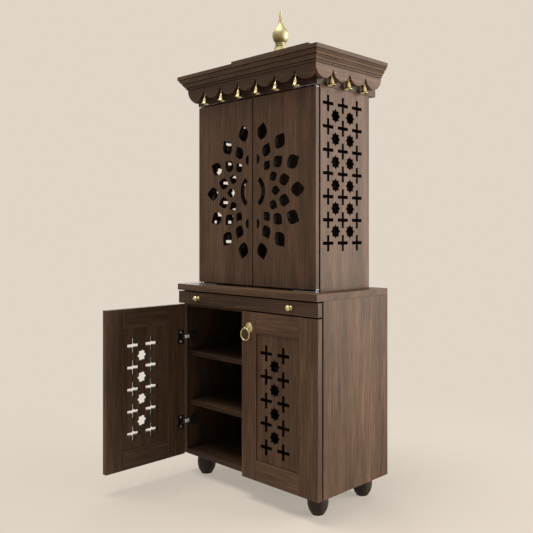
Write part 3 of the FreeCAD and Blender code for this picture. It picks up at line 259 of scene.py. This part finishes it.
ROSETTE_PROFILE = [
    [(0.5, 0), (19.5, 0)],
    [(19.5, 0), (19.5, 0.9), (18.8, 1.7)],
    [(18.8, 1.7), (15.6, 2.6), (13.6, 3.0)],
    [(13.6, 3.0), (13.2, 4.0), (12.2, 4.6)],
    [(12.2, 4.6), (8, 5.5), (4.6, 6.6), (4, 8.6), (3.8, 14.2)],
    [(3.8, 14.2), (0.4, 14.5)],
]
SCREW_PROFILE = [[(0.2, 0), (3.4, 0)], [(3.4, 0), (2.9, 0.7), (0.2, 1.1)]]

# Eyes, rings and links: the reach to the middle of the wire, the wire's radius, and the points round

EYE = {"reach": 4.25 * MM, "wire": 1.25 * MM, "turns": 32, "sides": 12, "fullness": 2.0}
EYE_STANDOFF = 19 * MM
RING_WIRE = 2.4 * MM
RING_TURNS = 72
RING_SIDES = 16
LINK = {"reach": 2.0 * MM, "wire": 0.7 * MM, "turns": 20, "sides": 8}

# The links and the hook start this many of a link's reaches above a bell's crown

LINK_STARTS = [(0.8, Vector((1, 0, 0))), (2.3, Vector((0, 1, 0)))]
HOOK_START = 3.0
HOOK_CORE_MM = 0.2
HOOK_RADIUS_MM = 0.8
BELL_HEIGHT = 32 * MM
SCREW_SPREAD = 0.34
UP = Vector((0, 0, 1))
FACINGS = {"left": Vector((-1, 0, 0)), "right": Vector((0, -1, 0))}


# Shader building

class Tree:
    """A node tree, with short calls to add and join nodes."""

    def __init__(self, node_tree):
        self.nodes = node_tree.nodes
        self.links = node_tree.links

    def add(self, kind, settings=None, inputs=(), **named):
        """A node of a kind, its settings, and its inputs in order or by name."""
        node = self.nodes.new("ShaderNode" + kind)
        for key, choice in (settings or {}).items():
            setattr(node, key, choice)
        for socket, given in zip(node.inputs, inputs):
            self.put(socket, given)
        for key, given in named.items():
            self.put(node.inputs[key.replace("_", " ")], given)
        return node

    def put(self, socket, given):
        """Feed a socket from another node's output, or with a number, a vector or a colour."""
        if isinstance(given, bpy.types.NodeSocket):
            self.links.new(given, socket)
        elif socket.type == "RGBA":
            socket.default_value = (*given, 1.0)
        else:
            socket.default_value = given

    def maths(self, operation, first, second=0.0):
        """One step of sums on one or two values."""
        return self.add("Math", {"operation": operation}, (first, second)).outputs[0]

    def total(self, *weighted):
        """A sum of values, each times its weight."""
        terms = [self.maths("MULTIPLY", value, weight) for value, weight in weighted]
        total = terms[0]
        for term in terms[1:]:
            total = self.maths("ADD", total, term)
        return total

    def plain_ray(self):
        """1 for a ray of the camera, gloss or glass, and 0 for one that lights something."""
        path = self.add("LightPath").outputs
        seen = self.maths("MAXIMUM", path["Is Camera Ray"], path["Is Glossy Ray"])
        return self.maths("MAXIMUM", seen, path["Is Transmission Ray"])


class Shader(Tree):
    """A material's node tree, with the recipes that the finishes share."""

    def __init__(self, name):
        self.material = bpy.data.materials.new(name)
        self.material.use_nodes = True
        super().__init__(self.material.node_tree)
        self.surface = self.nodes["Principled BSDF"]

    def finish(self, **named):
        """Set the surface's own sockets and hand over the material."""
        for key, given in named.items():
            self.put(self.surface.inputs[key.replace("_", " ")], given)
        return self.material

    def along(self, kind, axis):
        """One axis of the piece's own coordinates, kind Object, or of its Normal."""
        vector = self.add("TexCoord").outputs[kind]
        return self.add("SeparateXYZ", Vector=vector).outputs[axis]

    def noise(self, axis, seed, scale, stretch=1.0, detail=3.0, roughness=0.55, distortion=0.0):
        """Noise that lies in the piece, drawn out along an axis and moved by a seed."""
        shares = [1.0, 1.0, 1.0]
        shares["XYZ".index(axis)] = stretch
        shift = tuple(seed * step for step in SEED_STEPS)
        place = self.add("TexCoord").outputs["Object"]
        vector = self.add("Mapping", Vector=place, Scale=shares, Location=shift).outputs["Vector"]
        node = self.add("TexNoise", Vector=vector, Scale=scale, Detail=detail,
                        Roughness=roughness, Distortion=distortion)
        return node.outputs["Fac"]

    def ramp(self, factor, *stops):
        """Colours or greys at places from 0 to 1 along a factor."""
        node = self.add("ValToRGB", Fac=factor)
        elements = node.color_ramp.elements
        while len(elements) < len(stops):
            elements.new(0.5)
        for element, (place, shade) in zip(elements, stops):
            element.position = place
            element.color = (*shade, 1.0) if isinstance(shade, tuple) else (shade, shade, shade, 1.0)
        return node.outputs["Color"]

    def mix(self, factor, first, second, blend="MIX"):
        """Two colours mixed by a factor. A Mix node has its sockets for colours at 6 and 7."""
        node = self.add("Mix", {"data_type": "RGBA", "blend_type": blend})
        for place, given in ((0, factor), (6, first), (7, second)):
            self.put(node.inputs[place], given)
        return node.outputs[2]

    def shaded(self, colour, shade):
        """A colour times a shade, which is a grey number or another node's output."""
        shade = (shade, shade, shade) if isinstance(shade, float) else shade
        return self.mix(1.0, colour, shade, "MULTIPLY")

    def bump(self, height, depth, strength):
        """Normals bent by a height."""
        node = self.add("Bump", Strength=strength, Distance=depth, Height=height)
        return node.outputs["Normal"]


def toned(colour, tone):
    """A colour made lighter or darker."""
    return tuple(tone * channel for channel in colour)


def hole_walls(shader, node):
    """Where a pierced board's surface is a cut-out's wall, as 0 or 1."""
    thick = PIERCED[node]
    lean = shader.maths("ABSOLUTE", shader.along("Normal", thick))
    found = shader.maths("LESS_THAN", lean, WALL_LEAN)
    for place, axis in enumerate("XYZ"):
        if axis != thick:
            levels = [corner[place] for corner in NODES[node].bound_box]
            here = shader.along("Object", axis)
            above = shader.maths("GREATER_THAN", here, min(levels) + EDGE_MARGIN)
            below = shader.maths("LESS_THAN", here, max(levels) - EDGE_MARGIN)
            found = shader.maths("MULTIPLY", found, shader.maths("MULTIPLY", above, below))
    return found


def inner_faces(shader, node):
    """Where a pair of side boards faces the inside, as 0 or 1."""
    board = NODES[node]
    across = shader.maths("ABSOLUTE", shader.along("Object", "X"))
    reach = min(abs((board.matrix_world @ vertex.co).x) for vertex in board.data.vertices)
    return shader.maths("LESS_THAN", across, reach + INNER_FACES[node])


def walnut(name, axis, seed, node, pale_edge=False):
    """Stained walnut: fine streaks, dark pores, rust and ash flecks, satin lacquer, and painted shade in
    creases, in cut-outs and on inner faces.
    """
    shader = Shader(name)
    # The board's factor is mostly painted light and shade, in part its own tone
    tone = PAINTED_LIGHT_AND_TONE.get(node, 1.0)
    clouds = shader.noise(axis, seed, **CLOUDS)
    bands = shader.noise(axis, seed, **BANDS)
    streaks = shader.noise(axis, seed, **STREAKS)
    pores = shader.noise(axis, seed, **PORES)
    flecks = shader.noise(axis, seed + FLECK_SEED_STEP, **FLECKS)
    grain = shader.total((bands, BAND_WEIGHT), (streaks, STREAK_WEIGHT), (clouds, CLOUD_WEIGHT))
    shades = [toned(colour, tone) for colour in (WALNUT_DARK, WALNUT_MID, WALNUT_LIGHT)]
    base = shader.ramp(grain, *zip(GRAIN_STOPS, shades))
    base = shader.mix(shader.ramp(flecks, *RUSSET_RAMP), base, toned(WALNUT_RUSSET, tone))
    base = shader.mix(shader.ramp(flecks, *ASH_RAMP), base, toned(WALNUT_ASH, tone))
    base = shader.shaded(base, shader.ramp(pores, *PORE_RAMP))
    # The eased edges are made paler
    if pale_edge:
        base = shader.mix(EDGE_PALING_SHARE, base, WALNUT_LIGHT)
    # Painted shade: darker where the ambient-occlusion node finds other surfaces near, in creases and gaps
    creases = shader.add("AmbientOcclusion", {"samples": CREASE_SAMPLES}, Distance=CREASE_REACH)
    crease_shades = (LIGHT_CREASES.get(node, CREASE_SHADE), 1.0)
    base = shader.shaded(base, shader.ramp(creases.outputs["AO"], *zip(CREASE_STOPS, crease_shades)))
    # Painted shade: the walls of the cut-outs are darkened
    if node in PIERCED:
        base = shader.mix(hole_walls(shader, node), base, shader.shaded(base, HOLE_SHADE))
    # Painted shade: the side boards' inner faces are darkened
    if node in INNER_FACES:
        base = shader.mix(inner_faces(shader, node), base, shader.shaded(base, INNER_SHADE))
    height = shader.total((streaks, STREAK_HEIGHT), (pores, PORE_HEIGHT))
    return shader.finish(
        Base_Color=base, Roughness=shader.ramp(streaks, *WALNUT_ROUGHNESS),
        Specular_IOR_Level=WALNUT_GLOSS, Normal=shader.bump(height, **WALNUT_BUMP))


def dark_turned_wood(name, seed):
    """The near-black stain of the feet, with a faint turned grain."""
    shader = Shader(name)
    streaks = shader.noise("Z", seed, **TURNED_STREAKS)
    colour = shader.ramp(streaks, *zip(STAIN_STOPS, (STAIN_BLACK, STAIN_BROWN)))
    return shader.finish(
        Base_Color=colour, Roughness=shader.ramp(streaks, *STAIN_ROUGHNESS),
        Specular_IOR_Level=STAIN_GLOSS, Normal=shader.bump(streaks, **STAIN_BUMP))


def brass(name, seed, scale=60.0, bright=BRASS_COLOUR, haze=0.27):
    """Satin brass: pale gold, duller in patches, darker where it faces down as painted shade, with fine
    polishing marks.
    """
    shader = Shader(name)
    patches = shader.noise("Z", seed, scale, **BRASS_PATCHES)
    marks = shader.noise("Z", seed, **POLISH_MARKS)
    colour = shader.mix(shader.ramp(patches, *TARNISH_RAMP), bright, BRASS_TARNISH_AND_SHADE)
    # Painted shade: the brass is darker where it faces down
    down = shader.maths("MULTIPLY", shader.along("Normal", "Z"), -1.0)
    colour = shader.mix(shader.ramp(down, *UNDERSIDE_PAINTED_SHADE_RAMP), colour, BRASS_TARNISH_AND_SHADE)
    rough = shader.total((patches, PATCH_ROUGHNESS), (marks, MARK_ROUGHNESS))
    return shader.finish(
        Base_Color=colour, Metallic=1.0, Roughness=shader.maths("ADD", rough, haze),
        Normal=shader.bump(marks, **BRASS_BUMP))


def steel(name, seed, colour=STEEL_COLOUR, metal=1.0, nose_highlight=False):
    """Nickel-plated steel with a faint brushed haze, and a painted highlight at the arms' front ends if
    asked.
    """
    shader = Shader(name)
    marks = shader.noise("X", seed, **BRUSH_MARKS)
    base = shader.mix(shader.noise("Z", seed, **STEEL_HAZE), colour, toned(colour, HAZE_TONE))
    if nose_highlight:
        front = min(corner[1] for corner in NODES["hinge_arms"].bound_box) + NOSE_HIGHLIGHT_REACH
        # Painted highlight: near-white at the front ends of the hinge arms
        nose = shader.maths("LESS_THAN", shader.along("Object", "Y"), front)
        base = shader.mix(nose, base, PAINTED_HIGHLIGHT_STEEL)
        metal = shader.maths("SUBTRACT", metal, shader.maths("MULTIPLY", nose, metal - NOSE_HIGHLIGHT_METAL))
    return shader.finish(
        Base_Color=base, Metallic=metal, Roughness=shader.ramp(marks, *STEEL_ROUGHNESS),
        Normal=shader.bump(marks, **STEEL_BUMP))


# The CAD nodes: their finishes, and edges eased as by fine sandpaper

def ease(node, width):
    """Round every sharp edge of a node a little, the new strip in the last of its materials."""
    thing = NODES[node]
    weld = thing.modifiers.new("weld", "WELD")
    weld.merge_threshold = WELD_REACH
    flat = thing.modifiers.new("flat", "DECIMATE")
    flat.decimate_type = "DISSOLVE"
    flat.angle_limit = math.radians(FLAT_WITHIN)
    bevel = thing.modifiers.new("eased", "BEVEL")
    bevel.width = width
    bevel.segments = EASING_STEPS
    bevel.limit_method = "ANGLE"
    bevel.angle_limit = math.radians(EASED_ABOVE)
    bevel.material = 1 if len(thing.data.materials) > 1 else -1
    bevel.use_clamp_overlap = True
    normals = thing.modifiers.new("normals", "WEIGHTED_NORMAL")
    normals.keep_sharp = True


def dress(node, *finishes):
    """Give a CAD node its finish, and a second one for its eased edges where there is one."""
    materials = NODES[node].data.materials
    materials.clear()
    for finish in finishes:
        materials.append(finish)


def dress_boards():
    """Walnut for every board, each with a seed of its own, paler on its eased edges."""
    seed = 1
    for axis, nodes in GRAIN.items():
        for node in nodes:
            finish = walnut("walnut_" + node, axis, seed, node)
            pale_edge = walnut("walnut_edge_" + node, axis, seed, node, pale_edge=True)
            dress(node, finish, pale_edge)
            ease(node, PANEL_EASING if "lattice" in node else BOARD_EASING)
            seed += 1


def dress_metal():
    """Hinges in steel painted near-black as painted shade and dark reflection, with painted highlights at
    the cups' edges and the arms' noses, and plain steel elsewhere.
    """
    for seed, node in enumerate(STEEL_NODES):
        if node == "hinge_arms":
            dress(node, steel("steel_" + node, seed, PAINTED_SHADE_STEEL, ARM_METAL, nose_highlight=True))
        elif "hinge" in node:
            # Painted highlight on the cups' eased edges
            edges = steel("steel_highlight_edge_" + node, seed, PAINTED_HIGHLIGHT_STEEL, PAINTED_HIGHLIGHT_METAL)
            dress(node, steel("steel_" + node, seed, PAINTED_SHADE_STEEL), edges)
        else:
            dress(node, steel("steel_" + node, seed))
        ease(node, CUP_EASING if "cups" in node else METAL_EASING)


# Smooth pieces that stand for the flat-sided turned nodes

def spread(points):
    """The lowest and highest corner of some points."""
    low = Vector([min(point[axis] for point in points) for axis in range(3)])
    high = Vector([max(point[axis] for point in points) for axis in range(3)])
    return low, high


def solids(node):
    """The lowest and highest corner of each separate solid of a CAD node, from left to right."""
    thing = NODES[node]
    net = bmesh.new()
    net.from_mesh(thing.data)
    bmesh.ops.remove_doubles(net, verts=net.verts, dist=SAME_POINT)
    found, seen = [], set()
    for first in net.verts:
        if first in seen:
            continue
        group, ahead = [], [first]
        seen.add(first)
        while ahead:
            vertex = ahead.pop()
            group.append(thing.matrix_world @ vertex.co)
            for edge in vertex.link_edges:
                other = edge.other_vert(vertex)
                if other not in seen:
                    seen.add(other)
                    ahead.append(other)
        found.append(spread(group))
    net.free()
    return sorted(found, key=lambda corners: tuple(round(level, 4) for level in corners[0]))


def underside(low, high):
    """The middle of a box's lowest face."""
    return Vector(((low.x + high.x) / 2, (low.y + high.y) / 2, low.z))


def curved(points):
    """A Catmull-Rom curve through a row of points."""
    ends = [points[0], *points, points[-1]]
    row = [points[0]]
    for before, start, stop, after in zip(ends, ends[1:], ends[2:], ends[3:]):
        for step in range(1, CURVE_STEPS + 1):
            t = step / CURVE_STEPS
            row.append(tuple(0.5 * (2 * b + (c - a) * t + (2 * a - 5 * b + 4 * c - d) * t * t
                                    + (3 * b - a - 3 * c + d) * t ** 3)
                             for a, b, c, d in zip(before, start, stop, after)))
    return row


def lathe_path(stretches):
    """A profile in metres: straight where a stretch has two points, curved where it has more."""
    path = []
    for stretch in stretches:
        row = stretch if len(stretch) == 2 else curved(stretch)
        path += [point for point in row if not path or point != path[-1]]
    return [(radius * MM, level * MM) for radius, level in path]


def standing(place, direction=UP):
    """A frame at a place whose Z axis points along a direction."""
    return Matrix.Translation(place) @ direction.to_track_quat("Z", "Y").to_matrix().to_4x4()


def angles(count):
    """Even steps once round a circle, in radians."""
    return [2 * math.pi * step / count for step in range(count)]


class Form:
    """The points and faces of one piece, collected part by part."""

    def __init__(self):
        self.points = []
        self.faces = []

    def turn(self, stretches, where, sides):
        """A turned part about a frame's Z axis."""
        path = lathe_path(stretches)
        first = len(self.points)
        for radius, level in path:
            for angle in angles(sides):
                out = Vector((radius * math.cos(angle), radius * math.sin(angle), level))
                self.points.append(where @ out)
        for row in range(len(path) - 1):
            for side in range(sides):
                here = first + row * sides + side
                beside = first + row * sides + (side + 1) % sides
                self.faces.append((here, beside, beside + sides, here + sides))
        self.faces.append([first + side for side in reversed(range(sides))])
        self.faces.append([first + (len(path) - 1) * sides + side for side in range(sides)])

    def loop(self, where, reach, wire, turns, sides, fullness=1.0):
        """A round ring about a frame's Z axis, its section fuller along that axis if asked."""
        first = len(self.points)
        for around in angles(turns):
            for angle in angles(sides):
                out = reach + wire * math.cos(angle)
                level = wire * fullness * math.sin(angle)
                self.points.append(where @ Vector((out * math.cos(around), out * math.sin(around), level)))
        for turn in range(turns):
            for side in range(sides):
                here = turn * sides + side
                up = turn * sides + (side + 1) % sides
                on = (here + sides) % (turns * sides)
                on_up = (up + sides) % (turns * sides)
                self.faces.append([first + point for point in (here, on, on_up, up)])

    def piece(self, name, body, slot, finish, *replaced):
        """The finished object, riding on its body and standing for CAD nodes if any are named."""
        mesh = bpy.data.meshes.new(name)
        mesh.from_pydata([tuple(point) for point in self.points], [], self.faces)
        mesh.shade_smooth()
        mesh.set_sharp_from_angle(angle=math.radians(SHARP_ABOVE))
        mesh.materials.append(finish)
        made = bpy.data.objects.new(name, mesh)
        bpy.context.scene.collection.objects.link(made)
        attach(made, body)
        if replaced:
            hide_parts(*replaced)


def feet():
    """Round bun feet that taper to their soles."""
    form = Form()
    for low, high in solids("feet"):
        form.turn(FOOT_PROFILE, standing(underside(low, high)), TURNED_SIDES)
    form.piece("turned_feet", "cabinet", "dark_wood", dark_turned_wood("feet_stain", seed=5), "feet")


def finial():
    """A flared foot, two beads, a round bulb and its spire."""
    low, high = solids("finial")[0]
    form = Form()
    form.turn(FINIAL_PROFILE, standing(underside(low, high)), TURNED_SIDES)
    finish = brass("brass_finial", seed=0, scale=9.0, bright=FINIAL_COLOUR, haze=0.42)
    form.piece("turned_finial", "cabinet", "brass", finish, "finial")


def bells():
    """Flared bells, each with a clapper inside, two wire links and a hook up to the valance."""
    form = Form()
    for low, high in solids("bells"):
        mouth = underside(low, high)
        form.turn(BELL_PROFILE, standing(mouth), SMALL_SIDES)
        form.turn(CLAPPER_PROFILE, standing(mouth), CLAPPER_SIDES)
        crown = mouth + BELL_HEIGHT * UP
        for start, direction in LINK_STARTS:
            form.loop(standing(crown + start * LINK["reach"] * UP, direction), **LINK)
        base = crown + HOOK_START * LINK["reach"] * UP
        top = (high.z - base.z) / MM
        hook = [
            [(HOOK_CORE_MM, 0), (HOOK_RADIUS_MM, 0)],
            [(HOOK_RADIUS_MM, 0), (HOOK_RADIUS_MM, top)],
            [(HOOK_RADIUS_MM, top), (HOOK_CORE_MM, top)],
        ]
        form.turn(hook, standing(base), HOOK_SIDES)
    finish = brass("brass_bells", seed=1, scale=210.0, bright=BELL_COLOUR, haze=0.13)
    form.piece("hanging_bells", "cabinet", "brass", finish, "bells")


def knobs():
    """Mushroom knobs on the tray's face."""
    form = Form()
    for low, high in solids("drawer_knobs"):
        place = Vector(((low.x + high.x) / 2, high.y, (low.z + high.z) / 2))
        form.turn(KNOB_PROFILE, standing(place, FACINGS["right"]), TURNED_SIDES)
    form.piece("turned_knobs", "tray", "brass", brass("brass_knobs", seed=2), "drawer_knobs")


def pull(hand):
    """A stepped rosette with a post and an eye, and the loose ring that hangs in the eye."""
    facing = FACINGS[hand]
    across = UP.cross(facing)
    low, high = solids(hand + "_door_pull")[0]
    back = (low + high) / 2 - facing * abs((high - low).dot(facing)) / 2
    form = Form()
    form.turn(ROSETTE_PROFILE, standing(back, facing), TURNED_SIDES)
    form.loop(standing(back + facing * EYE_STANDOFF, across), **EYE)
    finish = brass(f"brass_{hand}_rosette", seed=3)
    form.piece(hand + "_rosette", hand + "_door", "brass", finish, hand + "_door_pull")
    low, high = solids(hand + "_door_pull_ring")[0]
    reach = (high.z - low.z) / 2 - RING_WIRE
    ring = Form()
    ring.loop(standing((low + high) / 2, facing), reach, RING_WIRE, RING_TURNS, RING_SIDES)
    finish = brass(f"brass_{hand}_ring", seed=4)
    ring.piece(hand + "_ring", hand + "_pull_ring", "brass", finish, hand + "_door_pull_ring")


def cup_screws(hand):
    """Two screws on the flange of each hinge cup, painted near-white as highlights."""
    inward = -FACINGS[hand]
    form = Form()
    for low, high in solids(hand + "_door_hinge_cups"):
        face = (low + high) / 2 + inward * abs((high - low).dot(inward)) / 2
        for side in (-1, 1):
            place = face + side * SCREW_SPREAD * (high.z - low.z) * UP
            form.turn(SCREW_PROFILE, standing(place, inward), SCREW_SIDES)
    # Painted highlight: the screws are near-white, barely metallic steel
    finish = steel(f"steel_{hand}_screws", seed=9, colour=PAINTED_HIGHLIGHT_STEEL, metal=PAINTED_HIGHLIGHT_METAL)
    form.piece(hand + "_cup_screws", hand + "_door", "steel", finish)


# Stage, light and camera

def stage():
    """A pale floor that glows in part for the camera, darker near the object as painted shade, and fades
    into a plain backdrop.
    """
    mesh = bpy.data.meshes.new("floor")
    rim = [(FLOOR_REACH * math.cos(angle), FLOOR_REACH * math.sin(angle), 0)
           for angle in angles(FLOOR_SIDES)]
    mesh.from_pydata(rim, [], [range(FLOOR_SIDES)])
    floor = bpy.data.objects.new("floor", mesh)
    bpy.context.scene.collection.objects.link(floor)
    shader = Shader("floor")
    shader.finish(Base_Color=FLOOR_COLOUR, Roughness=FLOOR_ROUGHNESS, Specular_IOR_Level=0.0)
    place = shader.add("TexCoord").outputs["Object"]
    away = shader.add("VectorMath", {"operation": "LENGTH"}, [place]).outputs["Value"]
    fade = shader.add("MapRange", {"interpolation_type": "SMOOTHSTEP"}, Value=away,
                      From_Min=FLOOR_FADE[0], From_Max=FLOOR_FADE[1]).outputs[0]
    # Painted shade: the glow is darker near the object
    glow = shader.add("Emission", Color=shader.mix(fade, NEAR_GLOW_PAINTED_SHADE, BACKDROP), Strength=1.0).outputs[0]
    share = shader.maths("ADD", shader.maths("MULTIPLY", fade, 1 - GLOW_SHARE), GLOW_SHARE)
    share = shader.maths("MULTIPLY", share, shader.plain_ray())
    mixed = shader.add("MixShader", inputs=(share, shader.surface.outputs[0], glow)).outputs[0]
    shader.put(shader.nodes["Material Output"].inputs["Surface"], mixed)
    mesh.materials.append(shader.material)


def world():
    """Soft light from all round, behind a plain backdrop that the camera, gloss and glass see."""
    made = bpy.data.worlds.new("studio")
    made.use_nodes = True
    bpy.context.scene.world = made
    tree = Tree(made.node_tree)
    tree.nodes.clear()
    soft = tree.add("Background", Color=AMBIENT, Strength=AMBIENT_STRENGTH).outputs[0]
    plain = tree.add("Background", Color=BACKDROP, Strength=1.0).outputs[0]
    mixed = tree.add("MixShader", inputs=(tree.plain_ray(), soft, plain)).outputs[0]
    tree.add("OutputWorld", Surface=mixed)


def lamps():
    """Large square lamps, each turned to its target."""
    for name, lamp in LAMPS.items():
        light = bpy.data.lights.new(name, "AREA")
        light.shape = "SQUARE"
        light.size = lamp["size"]
        light.energy = lamp["watts"]
        light.color = lamp["colour"]
        made = bpy.data.objects.new(name, light)
        made.location = lamp["place"]
        away = Vector(lamp["place"]) - Vector(lamp["target"])
        made.rotation_euler = away.to_track_quat("Z", "Y").to_euler()
        bpy.context.scene.collection.objects.link(made)


def camera():
    """The photograph's view."""
    data = bpy.data.cameras.new("camera")
    data.sensor_width = SENSOR_MM
    data.lens = CAMERA_LENS_MM
    data.shift_y = CAMERA_LIFT
    made = bpy.data.objects.new("camera", data)
    made.location = CAMERA_PLACE
    made.rotation_euler = (math.radians(CAMERA_LEVEL), 0, math.radians(CAMERA_HEADING))
    bpy.context.scene.collection.objects.link(made)
    bpy.context.scene.camera = made


camera()
stage()
world()
lamps()
dress_boards()
dress_metal()
feet()
finial()
bells()
knobs()
for hand in FACINGS:
    pull(hand)
    cup_screws(hand)

bpy.context.scene.view_settings.view_transform = "Standard"
